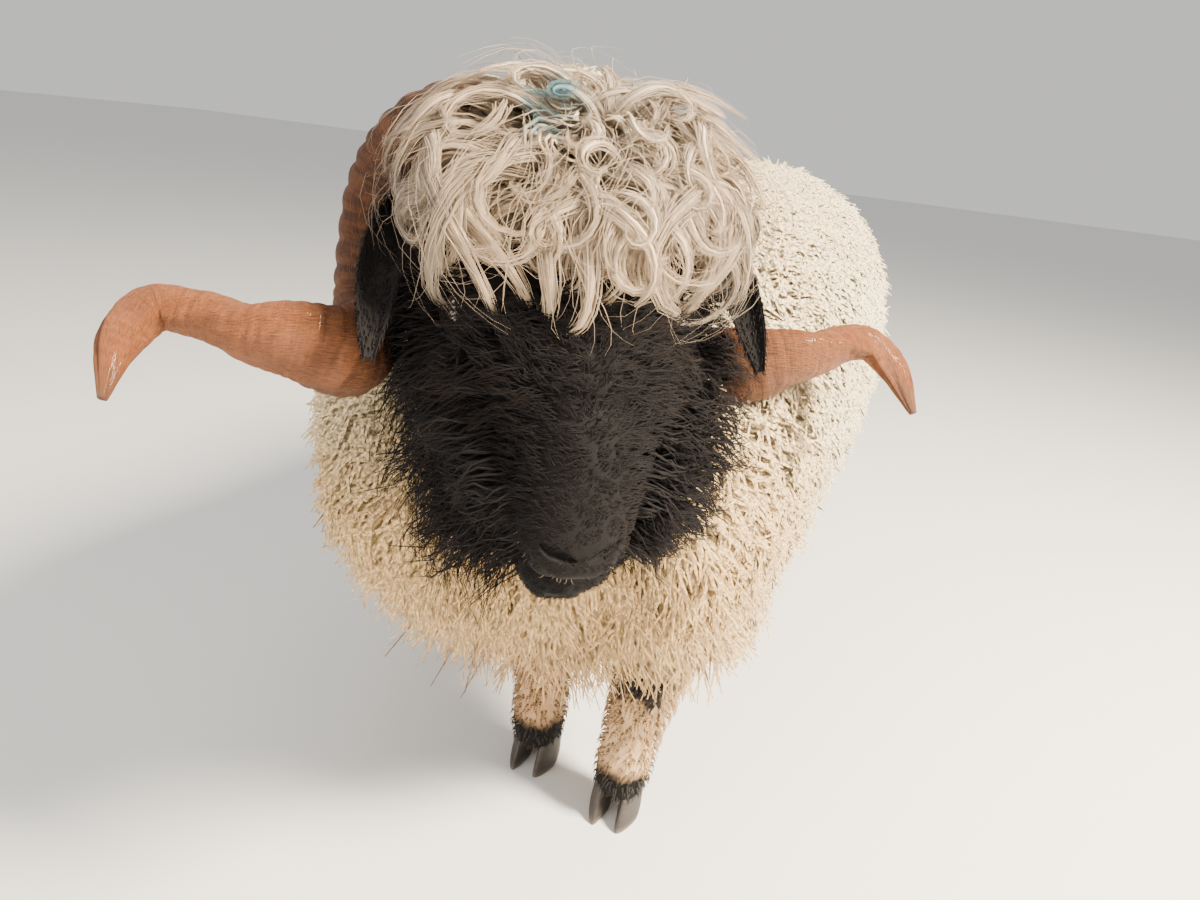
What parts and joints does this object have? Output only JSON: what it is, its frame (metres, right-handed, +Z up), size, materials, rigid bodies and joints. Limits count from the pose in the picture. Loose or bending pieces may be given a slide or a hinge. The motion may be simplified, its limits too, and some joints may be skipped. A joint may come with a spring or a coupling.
{
  "type": "valais blacknose ram figure",
  "caption": "Life-size standing model of a long-woolled sheep with a black face, curled forelock and wide twisted horns, its head lowered and turned.",
  "frame": {"origin": "on the floor, under the middle of the ram's bounding box", "axes": "the ram faces -Y, its left side is +X, and +Z is up"},
  "size_m": [0.6093, 1.3672, 0.8507],
  "materials": {
    "fleece": "matt curly wool, cream",
    "face_wool": "matt short wool, brown-black",
    "leg_wool": "matt wool, stained cream",
    "forelock_wool": "silky curled locks, greyish cream",
    "horn": "satin ridged horn, brown to tan",
    "eye": "wet gloss, dark",
    "hoof": "matt horn, dark"
  },
  "bodies": {
    "root": {"ear_left": "face_wool", "ear_right": "face_wool", "eye_left": "eye", "eye_right": "eye", "foreleg_left": "leg_wool", "foreleg_right": "leg_wool", "forelock": "forelock_wool", "head": "face_wool", "hindleg_left": "leg_wool", "hindleg_right": "leg_wool", "hoof_fore_left_inner": "hoof", "hoof_fore_left_outer": "hoof", "hoof_fore_right_inner": "hoof", "hoof_fore_right_outer": "hoof", "hoof_hind_left_inner": "hoof", "hoof_hind_left_outer": "hoof", "hoof_hind_right_inner": "hoof", "hoof_hind_right_outer": "hoof", "horn_left": "horn", "horn_right": "horn", "neck": "fleece", "tail": "fleece", "torso": "fleece"}
  },
  "joints": []
}
